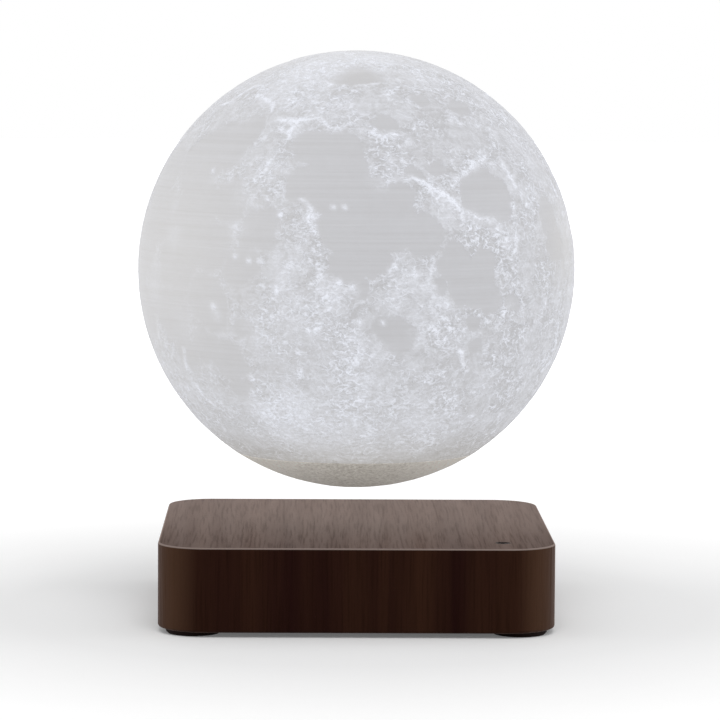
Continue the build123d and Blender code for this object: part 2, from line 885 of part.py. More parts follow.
def leds(first_turn):
    """One colour's LEDs, spaced evenly round the board's rim."""
    top = lamp_board_top + led_height
    body = box(led_width, led_length, lamp_board_top, top)
    body -= box(led_width - 2 * led_rim, led_length - 2 * led_rim, top - led_rim / 2, top)
    turns = [first_turn + full_turn / led_count * index for index in range(led_count)]
    return group(Rot(0, 0, turn) * Pos(led_radius, 0, 0) * body for turn in turns)


def lamp_chip(turn, width, height):
    """One of the chips near the middle of the lamp board."""
    body = chip(width, width, height, driver_pins, False)
    place = Rot(0, 0, turn) * Pos(lamp_chip_offset, 0, lamp_board_top) * Rot(0, 0, -turn)
    return place * body


def storage_capacitor():
    """Can capacitor that smooths the receiver's power."""
    radius = storage_capacitor_dia / 2
    top = lamp_board_top + storage_capacitor_height
    can = disc(radius, lamp_board_top, top)
    seat_top = lamp_board_top + capacitor_base
    can += box(storage_capacitor_dia, storage_capacitor_dia, lamp_board_top, seat_top)
    place = Rot(0, 0, quarter + full_turn / 2) * Pos(lamp_chip_offset, 0, 0)
    return place * can


def base_nodes():
    """Everything that stands on the table."""
    nodes = {
        "wooden_case": wooden_case(),
        "bottom_cover": bottom_cover(),
        "cover_screws": cover_screws(),
        "control_board": control_board(),
        "module_screws": module_screws(),
        "magnet_tray": magnet_tray(),
        "yoke_plate": yoke_plate(),
        "ring_magnet": ring_magnet(),
        "sensor_board": sensor_board(),
        "sensor_header": sensor_header(),
        "transmitter_coil": transmitter_coil(),
        "microcontroller": microcontroller(),
        "driver_chip_x": driver_chip(-driver_offset, 0),
        "driver_chip_y": driver_chip(driver_offset, 0),
        "transmitter_chip": driver_chip(transmitter_chip_x, transmitter_chip_y),
        "capacitor_left": capacitor(-capacitor_x),
        "capacitor_right": capacitor(capacitor_x),
        "power_inductor": power_inductor(),
        "film_capacitor": film_capacitor(),
        "dc_socket": dc_socket(),
        "dc_socket_pin": dc_socket_pin(),
        "dc_socket_contact": dc_socket_contact(),
        "touch_mark": touch_mark(),
        "touch_pad": touch_pad(),
        "touch_spring": touch_spring(),
    }
    for corner, (x, y) in corners.items():
        nodes["rubber_foot_" + corner] = Pos(x * foot_place, y * foot_place, 0) * rubber_foot()
    for side in sides:
        nodes["coil_core_" + side] = coil_place(side) * coil_core()
        nodes["coil_bobbin_" + side] = coil_place(side) * coil_bobbin()
        nodes["coil_winding_" + side] = coil_place(side) * coil_winding()
    offset = sensor_board_width * sensor_offset_share
    nodes["hall_sensor_x"] = Pos(offset, 0, 0) * Rot(0, 0, quarter) * hall_sensor(True)
    nodes["hall_sensor_y"] = Pos(0, offset, 0) * hall_sensor(True)
    nodes["hall_sensor_z"] = hall_sensor(False)
    return nodes


def moon_nodes():
    """Everything that floats."""
    return {
        "floating_magnet": floating_magnet(),
        "moon_shell": moon_shell(),
        "moon_cap": moon_cap(),
        "magnet_holder": magnet_holder(),
        "holder_screws": holder_screws(),
        "receiver_coil": receiver_coil(),
        "ferrite_disc": ferrite_disc(),
        "lamp_board": lamp_board(),
        "lamp_board_screws": lamp_board_screws(),
        "white_leds": leds(0),
        "warm_leds": leds(full_turn / led_count / 2),
        "rectifier": lamp_chip(lamp_chip_turn, rectifier_width, rectifier_height),
        "lamp_controller": lamp_chip(half_turn - lamp_chip_turn, driver_width, driver_height),
        "storage_capacitor": storage_capacitor(),
    }


def main():
    """Build every node and write it to its own file."""
    os.makedirs("parts", exist_ok=True)
    for name, shape in {**base_nodes(), **moon_nodes()}.items():
        export_step(shape, "parts/" + name + ".step")


main()
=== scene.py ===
# %% [markdown]
# This lesson dresses a levitating moon lamp: a printed moon globe, lit from inside, that floats
# over a rounded square base with a walnut finish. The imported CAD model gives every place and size.
# Blender adds what the eye meets first: the relief and tones of the moon, and the finish of each
# part.

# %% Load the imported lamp
import json
import math
import random

import bmesh
import bpy
import numpy as np
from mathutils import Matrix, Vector, noise


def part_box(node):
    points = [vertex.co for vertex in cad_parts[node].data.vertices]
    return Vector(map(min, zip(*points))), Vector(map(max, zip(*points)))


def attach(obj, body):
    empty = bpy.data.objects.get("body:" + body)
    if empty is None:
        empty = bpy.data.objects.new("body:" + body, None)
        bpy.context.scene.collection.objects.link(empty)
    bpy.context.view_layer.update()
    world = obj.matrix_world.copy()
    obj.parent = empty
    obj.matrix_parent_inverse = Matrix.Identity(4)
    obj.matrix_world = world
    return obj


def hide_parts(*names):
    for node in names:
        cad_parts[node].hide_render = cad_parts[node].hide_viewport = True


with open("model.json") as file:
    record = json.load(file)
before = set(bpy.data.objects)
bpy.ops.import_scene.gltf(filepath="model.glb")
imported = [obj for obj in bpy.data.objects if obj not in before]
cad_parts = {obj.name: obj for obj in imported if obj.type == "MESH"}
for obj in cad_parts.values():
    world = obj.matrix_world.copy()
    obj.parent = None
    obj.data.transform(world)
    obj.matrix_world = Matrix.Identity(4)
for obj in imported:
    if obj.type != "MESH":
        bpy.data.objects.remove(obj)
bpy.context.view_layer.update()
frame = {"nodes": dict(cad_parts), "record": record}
mm = 0.001

# %% [markdown]
# Colours are written as the sRGB hex values that a paint chart or a photograph shows, and one
# function turns them into the linear light that a renderer works with.

# %% Colours from hex values
def linear(code):
    """Linear colour of an sRGB hex value."""
    shares = [int(code[place : place + 2], 16) / 255 for place in (0, 2, 4)]
    return [c / 12.92 if c <= 0.04045 else ((c + 0.055) / 1.055) ** 2.4 for c in shares] + [1.0]


print("mid grey is", [round(c, 3) for c in linear("808080")])

# %% [markdown]
# A material is a small tree of nodes. One function adds any node with its settings and links, and
# a second starts a material from the shader that all of them share, with its fixed values set
# straight on the shader's own sockets. Sockets that share a name go by number: Math takes its values
# at 0, 1 and 2, MapRange turns the range from 1 to 2 into the one from 3 to 4, Mapping takes its
# scale at 3, and a Mix of colours takes the share at 0 and the two colours at 6 and 7.

# %% Nodes and materials
def add(tree, kind, inputs=None, **settings):
    """Adds one node, and fills or links its inputs. A node as an input gives its first output."""
    node = tree.nodes.new("ShaderNode" + kind)
    for name, value in settings.items():
        setattr(node, name, value)
    for key, value in (inputs or {}).items():
        if isinstance(value, bpy.types.Node):
            value = value.outputs[0]
        if isinstance(value, bpy.types.NodeSocket):
            tree.links.new(value, node.inputs[key])
        else:
            node.inputs[key].default_value = value
    return node


def start_finish(name, values):
    """A new material with the Principled shader, whose fixed values are given."""
    material = bpy.data.materials.new(name)
    material.use_nodes = True
    tree = material.node_tree
    tree.nodes.clear()
    shader = add(tree, "BsdfPrincipled", values)
    add(tree, "OutputMaterial", {"Surface": shader.outputs[0]})
    return material, tree, shader


def per_metre(size_mm):
    """The Scale of a pattern on Object coordinates whose features are this many millimetres."""
    return 1 / (size_mm * mm)


print("a pattern of 2 mm has the Scale", round(per_metre(2)))

# %% [markdown]
# The camera comes before the looks, so that every render already has the framing of the
# photograph: a long lens from a little above the top of the globe, turned slightly to the right.
# The globe hangs a touch to one side in the photograph, and the camera shares that error out.

# %% Camera
camera = bpy.data.objects.new("camera", bpy.data.cameras.new("camera"))
long_lens_mm, sensor_mm = 185.35, 36
camera_turn, camera_dip, camera_roll = 0.0152, 0.08585, -0.00596
camera.data.lens = long_lens_mm
camera.data.sensor_width = sensor_mm
camera.data.clip_start, camera.data.clip_end = 0.05, 30
camera.location = Vector((-18.5, -1271.4, 195.6)) * mm
camera.rotation_euler = (math.pi / 2 - camera_dip, camera_roll, -camera_turn)
bpy.context.scene.collection.objects.link(camera)
bpy.context.scene.camera = camera
print("camera is", round(camera.location.length, 3), "m from the middle of the base")

# %% [markdown]
# The moon is a thin shell of white PLA, printed in layers of a translucent filament. Its picture
# isn't painted: where the wall is thin it glows brighter, and where it is thick it glows less, so
# the dark plains and the bright highlands are both relief and tone. The globe is built as relief
# on a real mesh. A cube with a fine grid, blown up into a ball, has nearly even faces everywhere
# and no poles, unlike a globe made of meridians.

# %% Where the moon is
shell_low, shell_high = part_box("moon_shell")
cap_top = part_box("moon_cap")[1].z
moon_radius = (shell_high.x - shell_low.x) / 2
moon_middle = Vector((0, 0, shell_high.z - moon_radius))
seam = cap_top - moon_middle.z
shell_wall = 1.6 * mm
print("moon radius in mm", round(moon_radius / mm, 2), "seam below its middle", round(-seam / mm, 2))

# %% A ball of nearly even faces
def even_ball(cuts):
    """Cube with a fine grid, blown up to a ball of radius 1."""
    ball = bmesh.new()
    bmesh.ops.create_cube(ball, size=2.0)
    bmesh.ops.subdivide_edges(ball, edges=ball.edges[:], cuts=cuts, use_grid_fill=True)
    for vertex in ball.verts:
        spread = [math.tan(c * math.pi / 4) for c in vertex.co]
        vertex.co = Vector(spread).normalized()
    return ball


sample = even_ball(3)
print("3 cuts give a ball of", len(sample.faces), "faces")
sample.free()

# %% [markdown]
# The plains are soft round basins that overlap. Their places are read off the photograph, as
# longitude, latitude and a radius in millimetres on the globe. The far side isn't seen, and gets
# fewer and smaller basins, as such globes have. Bright patches are ejecta and mountains along the
# plains' shores: they also have a gain, the share by which they lighten the print, or darken it if
# below zero. Spots are single bright mounds, crests are thin mountain ridges from place to place,
# and rings are the rims of the craters that stand out, with a radius in millimetres. Smooth regions
# are where the print has less texture: each has a radius and the share that it takes away.

# %% Places of the plains, patches, spots, crests, rings and smooth regions
plains_front = [
    (-48, 35, 12), (-56, 30, 12), (-41, 40, 7), (-50, 18, 13), (-38, 20, 8), (-54, 4, 13),
    (-42, 8, 11), (-57, -9, 12), (-42, -6, 10), (-38, -21, 8), (-45, -17, 8), (-36, -29, 5),
    (-27, 13, 8), (-31, 4, 8), (-64, 14, 12), (-66, -4, 9), (-54, -20, 8), (-31, -12, 5),
    (-15, 36, 7), (-7, 34, 8), (-8, 26, 12), (-16, 25, 7),
    (1, 20, 10), (-3, 14, 10), (8, 15, 9), (16, 12, 7), (11, 22, 5), (3, 6, 6), (0, -1, 4),
    (-3, 5, 6), (30, 0, 9), (24, 5, 6), (36, -5, 5), (21, -1, 3), (33, 5, 6), (31, -11, 3),
    (32, -17, 3.5), (10, -13, 6), (6, -11, 3.5), (37, 22, 11), (-1, 62, 6), (-8, 61, 4),
    (7, 62, 3.5), (9, 43, 4), (16, 29, 3), (22, 30, 3), (26, 51, 3.5), (42, 49, 3.5),
    (62, 16, 7), (63, 8, 6), (43, -6, 3.5), (-76, 8, 15), (-74, 26, 13), (-76, -10, 12),
]
plains_back = [
    (100, 18, 10), (108, 24, 7), (92, 12, 6), (205, -35, 10), (214, -30, 6), (150, 42, 5),
    (172, -12, 5), (187, 28, 4), (235, 8, 5), (128, -42, 7), (260, 38, 6),
]
patches = [
    (-24, 41, 3.5, 0.7), (-26, 51, 6, 0.35), (-14, 49, 5, 0.4), (-5, 47, 5, 0.3),
    (-39, 53, 4, 0.3), (-20, 58, 5, 0.2), (-9, 42, 2.5, 0.4), (-30, 29, 3, 0.35), (-27, 26, 2, 0.4),
    (-33, 22, 3.5, 0.3), (-39, 26, 2.5, 0.25), (-13, 18, 1.5, 0.5), (-12, 16, 1.2, 0.5),
    (-20, 17, 1.5, 0.6), (-14, 11, 3.5, 0.4), (-16, 8, 2.5, 0.4), (-18, 4, 4, 0.5),
    (-8, -2, 4, 0.8), (-8, -5, 3, 0.9), (-2, -1, 2, 0.6), (-19, 0, 5, 0.3), (-16, -6, 5, 0.3),
    (-11, -11, 5, 0.65), (-2, -14, 4.5, 0.6), (0, -18, 4.5, 0.5), (-5, -24, 6, 0.25),
    (11, -1, 5, 0.3), (9, -4, 4.5, 0.25), (13, 3, 3, 0.4), (8, 3, 1.5, 0.6), (17, -12, 4.5, 0.5),
    (22, -10, 4.5, 0.5), (25, -15, 4, 0.35), (19, -5, 3.5, 0.6), (23, -6, 2, 0.6),
    (26, -11, 2, 0.5), (14, -22, 3, 0.4), (7, -18, 3, 0.4), (15, 27, 1.5, 0.6), (19, 25, 1.8, 0.7),
    (22, 22, 2, 0.4), (25, 20, 2.2, 0.4), (26, 18, 2, 0.3), (20, 20, 4, 0.3), (31, 15, 3.5, 0.4),
    (36, 13, 4, 0.4), (41, 10, 3.5, 0.4), (5, 27, 3, 0.35), (6, 24, 2, 0.35), (9, 32, 2.5, 0.4),
    (4, 39, 2, 0.6), (9, 39, 2, 0.6), (37, 44, 2, 0.7), (35, 31, 2.5, 0.6), (14, 55, 2, 0.5),
    (35, 66, 3, 0.4), (65, 45, 7, 0.2), (60, 32, 6, 0.2), (57, 22, 3, 0.35), (46, 19, 1.5, 0.7),
    (41, -7, 3, 0.3), (36, -18, 3, 0.3), (40, -22, 4, 0.3), (38, -29, 4, 0.35),
    (31, -32, 3.5, 0.35), (-21, -29, 5, 0.35), (-27, -34, 7, 0.85), (-35, -37, 5, 0.35),
    (-20, -37, 6, 0.35), (-46, -35, 3.5, 0.3), (-57, -29, 3, 0.25), (6, 72, 14, 0.75),
    (-32, 64, 12, 0.8), (42, 62, 8, 0.25), (66, 6, 12, -0.3), (0, -31, 11, 0.55),
    (-16, -38, 11, 0.55), (20, -36, 10, 0.35), (0, -50, 13, 0.9), (-26, -48, 10, 0.8),
    (26, -48, 10, 0.7), (30, 42, 9, -0.35), (-57, 10, 4, 0.3), (-66, -2, 5, 0.3),
    (-60, 18, 2.5, 0.25), (-40, -8, 2, 0.45), (-34, 12, 4, 0.25), (-52, -12, 5, 0.2),
    (-20, -30, 4, 0.3), (-44, 44, 3, 0.3), (-1, 62, 7, -0.6), (-24, -12, 7, 0.5),
    (150, 10, 14, 0.2), (185, -5, 5, 0.5), (222, 24, 6, 0.4), (110, -20, 5, 0.4),
]
spots = [
    (-32, 38), (-27, 41), (-47, 28), (-7, 19), (-4, 19), (-21, 17), (-33, 6), (-29, 5), (-26, 5),
    (-18, 4), (-10, 4), (-10, 2), (-25, -1), (-21, -2), (-2, -1), (-5, 0), (-11, -12), (-13, -12),
    (-16, -18), (-1, -19), (-6, -18), (-16, -23), (-62, -31), (-31, -26), (5, 41), (0, -10),
    (6, -10), (19, -1), (28, -18), (57, -7), (59, -29), (40, -38), (55, -39), (46, 19), (38, 43),
    (50, 41), (45, 42), (44, 7), (9, 4), (-40, -7), (-7, 58), (-14, 58), (48, 27), (16, -6),
    (22, -9), (24, -12), (20, -12),
]
spot_radius, spot_gain = 0.85, 0.8
crests = [
    [(15, 27), (19, 25), (22, 23), (25, 21), (27, 19), (28, 17)],
    [(16, 26), (20, 24), (23, 22), (26, 20), (28, 16)],
    [(23, 23), (26, 24), (28, 27), (32, 28)], [(31, 28), (35, 30), (38, 31)],
    [(46, 31), (48, 29), (49, 27), (49, 24)], [(73, 24), (74, 21)], [(29, 18), (33, 16), (38, 15)],
    [(-70, 48), (-63, 50), (-61, 53), (-58, 57), (-49, 57)],
    [(-49, 53), (-40, 51), (-36, 49), (-34, 47)], [(-30, 44), (-25, 44), (-20, 45)],
    [(-23, 38), (-23, 41), (-22, 44), (-19, 44), (-15, 45), (-12, 43), (-9, 41), (-6, 41)],
    [(-16, 21), (-13, 19), (-12, 16)], [(-13, 17), (-13, 15), (-11, 12)],
    [(-31, 26), (-28, 28), (-27, 31), (-26, 32)], [(-2, 58), (4, 58), (9, 59)],
    [(3, 40), (5, 39), (8, 39), (11, 40)], [(35, 31), (37, 31), (41, 32)],
    [(19, 6), (18, 2), (16, -1)], [(28, -18), (29, -21), (31, -24)],
    [(68, -13), (70, -17), (73, -23), (68, -26)], [(-55, -19), (-56, -22), (-57, -25)],
    [(-55, -30), (-54, -34), (-51, -36)], [(44, 7), (45, 12), (44, 13)],
    [(150, 30), (158, 24), (170, 22)], [(215, -12), (222, -4), (224, 6)],
]
crest_width, crest_gain = 0.75, 0.6
rings = [
    (14, 55, 1.7), (-48, 54, 2.1), (23, 51, 1.7), (41, -6, 2.1), (8, 39, 1.7), (-25, 22, 1.7),
    (160, 5, 3.0), (190, 30, 2.4), (215, -20, 2.6), (120, 40, 2.2),
]
ring_gain = 0.25
smooth_regions = [(-60, 5, 50, 0.75), (72, 8, 18, 0.5), (-30, 80, 34, 0.5), (0, -62, 42, 0.55)]


def towards(longitude, latitude):
    """Unit direction of a place on the moon. Longitude 0 faces the front and grows towards +X."""
    turn, rise = math.radians(longitude), math.radians(latitude)
    flat = math.cos(rise)
    return np.array((flat * math.sin(turn), -flat * math.cos(turn), math.sin(rise)))


def smooth_step(value, low, high):
    """0 below low, 1 above high, and a soft turn between."""
    share = np.clip((value - low) / (high - low), 0, 1)
    return share * share * (3 - 2 * share)


print("plains", len(plains_front) + len(plains_back), "patches", len(patches), "spots", len(spots))
print("crests", len(crests), "rings", len(rings))

# %% [markdown]
# Between the plains lie highlands, rough with ridges and with craters of every size. Noise gives
# the ridges, and a seeded scatter of small bowls with raised rims gives the craters. The noise that
# bends the shores is seeded too, because Blender would otherwise take its seed from the clock, and
# each run would give another moon. One pass over the vertices works out the relief in millimetres,
# never above the true radius, and four values for the material: the distance to the nearest shore,
# the gain of light, the crests with the bright spots, and the ruggedness, which is low in the
# smooth regions.

# %% Distances on the globe, and small craters
crater_count, crater_seed, smallest_crater, crater_spread = 420, 7, 1.2, 3.6
noise_seed = 9
noise.seed_set(noise_seed)


def distance_to(points, longitude, latitude):
    """Distance in millimetres along the globe from each point to a place."""
    return np.arccos(np.clip(points @ towards(longitude, latitude), -1, 1)) * moon_radius / mm


def hump(distance, radius):
    """Soft round hump, 1 in its middle."""
    return np.exp(-((distance / radius) ** 2))


def distance_to_line(points, start, stop):
    """Distance in millimetres from each point to the straight line between two places."""
    first, last = towards(*start), towards(*stop)
    run = last - first
    share = np.clip((points - first) @ run / (run @ run), 0, 1)
    nearest = first + share[:, None] * run
    return np.linalg.norm(points - nearest, axis=1) * moon_radius / mm


def scatter_craters(count, seed):
    """Random directions and radii in millimetres for small craters, few large and many small."""
    dice = random.Random(seed)
    rows = []
    for _ in range(count):
        level, turn = dice.uniform(-1, 1), dice.uniform(0, 2 * math.pi)
        flat = math.sqrt(1 - level * level)
        place = (flat * math.sin(turn), -flat * math.cos(turn), level)
        rows.append((np.array(place), smallest_crater + crater_spread * dice.random() ** 4))
    return rows


print("small craters", crater_count, "largest radius in mm", smallest_crater + crater_spread)

# %% Relief of the moon
plain_depth_mm, land_rise_mm, ridge_rise_mm = 0.42, 0.22, 0.22
patch_rise_mm, crest_rise_mm = 0.14, 0.25
shore_width, patch_evenness = 0.6, 0.4
bends_across, frays_across = 6.0, 18.0
bend_reach, fray_reach, line_reach = 0.030, 0.014, 0.012
ridges_across, ridge_levels, ridge_top = 14, 4, 2.2
ridge_falloff, ridge_spacing, ridge_offset, ridge_feedback = 0.8, 2.1, 1.0, 2.0
bowl_depth, rim_height, bowl_shade, rim_light = 0.09, 0.035, 0.04, 0.12
rim_place, rim_sharpness = 1.05, 4
least_rugged, crater_share_on_plains = 0.2, 0.2
out_at_sea, out_of_reach = -8.0, 99.0


def moon_picture(points):
    """Relief in millimetres, and the material's four values, at unit directions."""
    bend = np.array([noise.noise_vector(Vector(p) * bends_across) for p in points])
    fray = np.array([noise.noise_vector(Vector(p) * frays_across) for p in points])
    bent = points + bend_reach * bend + fray_reach * fray
    bent /= np.linalg.norm(bent, axis=1)[:, None]
    shore = np.full(len(points), out_at_sea)
    for longitude, latitude, radius in plains_front + plains_back:
        shore = np.maximum(shore, radius - distance_to(bent, longitude, latitude))
    gain = np.zeros(len(points))
    for longitude, latitude, radius, power in patches:
        gain += power * hump(distance_to(bent, longitude, latitude), radius)
    crest = np.zeros(len(points))
    for longitude, latitude in spots:
        crest += spot_gain * hump(distance_to(points, longitude, latitude), spot_radius)
    wandering = points + line_reach * fray
    for line in crests:
        nearest = np.full(len(points), out_of_reach)
        for start, stop in zip(line, line[1:]):
            nearest = np.minimum(nearest, distance_to_line(wandering, start, stop))
        crest += crest_gain * hump(nearest, crest_width)
    for longitude, latitude, radius in rings:
        crest += ring_gain * hump(distance_to(wandering, longitude, latitude) - radius, crest_width)
    calm = np.zeros(len(points))
    for longitude, latitude, radius, share in smooth_regions:
        calm += share * hump(distance_to(points, longitude, latitude), radius)
    rugged = 1 - np.clip(calm, 0, 1 - least_rugged)
    land = smooth_step(-shore, -shore_width, shore_width)
    ridge_settings = (ridge_falloff, ridge_spacing, ridge_levels, ridge_offset, ridge_feedback)
    rows = [
        noise.ridged_multi_fractal(Vector(p) * ridges_across, *ridge_settings) for p in points
    ]
    ridges = np.clip(np.array(rows) / ridge_top, 0, 1)
    relief = -plain_depth_mm + land * (land_rise_mm + ridge_rise_mm * ridges * rugged)
    relief += patch_rise_mm * gain * (patch_evenness + ridges)
    relief += crest_rise_mm * crest
    for place, radius in scatter_craters(crater_count, crater_seed):
        away = np.arccos(np.clip(points @ place, -1, 1)) * moon_radius / mm / radius
        bowl = np.clip(1 - away * away, 0, 1)
        rim = np.exp(-(((away - rim_place) * rim_sharpness) ** 2))
        keep = (crater_share_on_plains + (1 - crater_share_on_plains) * land) * rugged
        relief += keep * radius * (rim_height * rim - bowl_depth * bowl)
        gain += keep * (rim_light * rim - bowl_shade * bowl)
    return np.minimum(relief, 0.0), {"shore": shore, "gain": gain, "crest": crest, "rugged": rugged}


print("the plains lie", plain_depth_mm, "mm deep")

# %% [markdown]
# The ball is cut at the seam, the part above it becomes the globe and the part below it the cap.
# Near the seam the relief fades out, so both edges stay true and the two pieces meet as the CAD
# solids do. The inner wall is then drawn ring by ring from the cut edge along an outline, which
# closes each piece into a real solid with its own thickness.

# %% The moon's skin
seam_blend, weld_reach = (0.1 * mm, 2.0 * mm), 1e-7


def moon_skin(cuts, side):
    """Relief surface on one side of the seam: 1 above it, -1 below it. Also its cut edge."""
    ball = even_ball(cuts)
    level = seam / moon_radius
    bmesh.ops.bisect_plane(
        ball, geom=ball.verts[:] + ball.edges[:] + ball.faces[:], dist=weld_reach,
        plane_co=(0, 0, level), plane_no=(0, 0, side), clear_inner=True,
    )
    points = np.array([vertex.co.normalized() for vertex in ball.verts])
    relief, values = moon_picture(points)
    from_seam = abs(points[:, 2] * moon_radius - seam)
    relief *= smooth_step(from_seam, *seam_blend)
    for vertex, point, depth in zip(ball.verts, points, relief):
        vertex.co = moon_middle + Vector(point) * (moon_radius + depth * mm)
    for name, row in values.items():
        layer = ball.verts.layers.float.new(name)
        for vertex, value in zip(ball.verts, row):
            vertex[layer] = value
    mouth = [edge for edge in ball.edges if edge.is_boundary]
    print("relief in mm", round(relief.min(), 2), "to", round(relief.max(), 2))
    return ball, mouth


print("the relief fades out within", round(seam_blend[1] / mm, 1), "mm of the seam")

# %% Walls, and finished pieces
def draw_rings(piece, edge_loop, outline):
    """Extrudes an edge loop about the Z axis through rings of (radius, level), and closes it."""
    for radius, level in outline:
        grown = bmesh.ops.extrude_edge_only(piece, edges=edge_loop)["geom"]
        ring = [item for item in grown if isinstance(item, bmesh.types.BMVert)]
        for vertex in ring:
            flat = Vector((vertex.co.x, vertex.co.y, 0)).normalized()
            vertex.co = flat * radius + Vector((0, 0, level))
        edge_loop = [e for e in grown if isinstance(e, bmesh.types.BMEdge) and e.is_boundary]
    bmesh.ops.pointmerge(piece, verts=ring, merge_co=(0, 0, outline[-1][1]))
    bmesh.ops.recalc_face_normals(piece, faces=piece.faces[:])


def finish_piece(piece, name, material, body, replaced):
    """Turns a bmesh into a smooth piece of the lamp that rides on its body."""
    for face in piece.faces:
        face.smooth = True
    mesh = bpy.data.meshes.new(name)
    piece.to_mesh(mesh)
    piece.free()
    mesh.materials.append(material)
    thing = bpy.data.objects.new(name, mesh)
    bpy.context.scene.collection.objects.link(thing)
    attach(thing, body)
    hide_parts(*replaced)
    triangles = sum(len(face.vertices) - 2 for face in mesh.polygons)
    print(name, "triangles", triangles)


print("the shell's wall in mm", round(shell_wall / mm, 1))

# %% [markdown]
# The glow of the print is set in its material: a part of each colour is white plastic in the room's
# light, and a part is light from within. The mesh brings the places of the plains, and the shader
# adds what is finer than its faces: shores frayed at a few millimetres and less, thin bright ridges
# that wander like worms over the rugged land, crumbs between them, small bright craters, and the
# print's layer lines, drawn 1.2 mm apart because real layers of 0.2 mm would not show.

# %% Printed PLA, lit from inside
plain_tone, smooth_tone, bright_tone = linear("C1C1C4"), linear("D0CFCF"), linear("F3F6FF")
fray_mm, fray_swing = 2.4, 5.0
calm_shore, rugged_shore, shore_top, sharp_from = 7.0, 3.0, 1.9, 0.9
moon_print, tree, shader = start_finish(
    "translucent_white_pla_printed",
    {"Roughness": 0.62, "Specular IOR Level": 0.12, "Emission Strength": 0.74},
)
place = add(tree, "TexCoord").outputs["Object"]
height = add(tree, "SeparateXYZ", {0: place}).outputs["Z"]
shore = add(tree, "Attribute", attribute_name="shore").outputs["Fac"]
gain = add(tree, "Attribute", attribute_name="gain").outputs["Fac"]
crest = add(tree, "Attribute", attribute_name="crest").outputs["Fac"]
rugged = add(tree, "Attribute", attribute_name="rugged").outputs["Fac"]
fray = add(
    tree, "TexNoise",
    {"Vector": place, "Scale": per_metre(fray_mm), "Detail": 4.0, "Roughness": 0.7},
)
frayed_shore = add(tree, "Math", {0: fray, 1: fray_swing, 2: shore}, operation="MULTIPLY_ADD")
soft_shore = add(
    tree, "MapRange", {0: rugged, 1: least_rugged, 2: sharp_from, 3: calm_shore, 4: rugged_shore}
)
land = add(
    tree, "MapRange", {0: frayed_shore, 1: soft_shore, 2: shore_top},
    interpolation_type="SMOOTHSTEP",
)
print("shores fray at", fray_mm, "mm")

# %% Ridges, crumbs, small craters and layer lines
ridge_mm, wear_mm, mottle_mm, crumb_mm, crater_mm, layer_mm = 2.4, 11, 5, 0.9, 3.2, 1.2
lying_stretch, layer_stretch = (0.75, 0.75, 1.1), (0.012, 0.012, 1.0)
worm_foot, worm_top, least_wear, most_wear = 1.35, 2.1, 0.25, 1.3
choice_from, choice_full, dot_edge, dot_core = 0.7, 0.72, 0.17, 0.09
mottle_share, layer_share = 0.1, 0.12
lying = add(tree, "Mapping", {0: place, 3: lying_stretch})
ridge_noise = add(
    tree, "TexNoise",
    {"Vector": lying, "Scale": per_metre(ridge_mm), "Detail": 4.0, "Roughness": 0.62,
     "Offset": 1.0, "Gain": 1.6, "Distortion": 0.6},
    noise_type="RIDGED_MULTIFRACTAL",
)
worms = add(tree, "MapRange", {0: ridge_noise, 1: worm_foot, 2: worm_top})
wear_noise = add(tree, "TexNoise", {"Vector": place, "Scale": per_metre(wear_mm), "Detail": 3.0})
wear = add(tree, "MapRange", {0: wear_noise, 1: 0.38, 2: 0.64, 3: least_wear, 4: most_wear})
mottle = add(
    tree, "TexNoise",
    {"Vector": place, "Scale": per_metre(mottle_mm), "Detail": 5.0, "Roughness": 0.68,
     "Distortion": 0.8},
)
mottled = add(tree, "Math", {0: mottle, 1: 1.0, 2: -0.5}, operation="MULTIPLY_ADD")
crumb_noise = add(
    tree, "TexNoise",
    {"Vector": lying, "Scale": per_metre(crumb_mm), "Detail": 2.0, "Roughness": 0.6,
     "Distortion": 0.5},
)
crumbs = add(tree, "Math", {0: crumb_noise, 1: 0.5}, operation="SUBTRACT")
cells = add(tree, "TexVoronoi", {"Vector": place, "Scale": per_metre(crater_mm)})
cell_choice = add(tree, "SeparateColor", {0: cells.outputs["Color"]})
chosen = add(tree, "MapRange", {0: cell_choice, 1: choice_from, 2: choice_full})
dot_shape = add(tree, "MapRange", {0: cells.outputs["Distance"], 1: dot_edge, 2: dot_core})
dots = add(tree, "Math", {0: chosen, 1: dot_shape}, operation="MULTIPLY")
flatter = add(tree, "Mapping", {0: place, 3: layer_stretch})
layer_noise = add(
    tree, "TexNoise",
    {"Vector": flatter, "Scale": per_metre(layer_mm), "Detail": 4.0, "Roughness": 0.7},
)
layers = add(tree, "MapRange", {0: layer_noise, 1: 0.28, 2: 0.72, 4: layer_share})
uneven = add(tree, "Math", {0: mottled, 1: mottle_share, 2: layers}, operation="MULTIPLY_ADD")
print("worms wander at", ridge_mm, "mm, crumbs at", crumb_mm, "mm, layers at", layer_mm, "mm")

# %% Tones of the print
worm_gain, worm_ground, crumb_gain, dot_gain = 0.62, -0.1, 0.9, 0.5
land_lift, calm_lift, patch_lift, crest_lift = 0.14, 0.03, 0.33, 0.8
patch_worm_gain, patch_crumb_gain, crest_crumb_gain = 0.5, 1.3, 2.4
worm_swing = add(
    tree, "Math", {0: worms, 1: worm_gain, 2: worm_ground}, operation="MULTIPLY_ADD"
)
crumb_swing = add(tree, "Math", {0: crumbs, 1: crumb_gain, 2: worm_swing}, operation="MULTIPLY_ADD")
dot_swing = add(tree, "Math", {0: dots, 1: dot_gain, 2: crumb_swing}, operation="MULTIPLY_ADD")
worn_swing = add(tree, "Math", {0: dot_swing, 1: wear, 2: mottled}, operation="MULTIPLY_ADD")
land_rise = add(tree, "Math", {0: worn_swing, 1: land_lift}, operation="ADD")
calm_rise = add(tree, "Math", {0: land_rise, 1: rugged, 2: calm_lift}, operation="MULTIPLY_ADD")
patch_worms = add(tree, "Math", {0: worms, 1: patch_worm_gain}, operation="MULTIPLY")
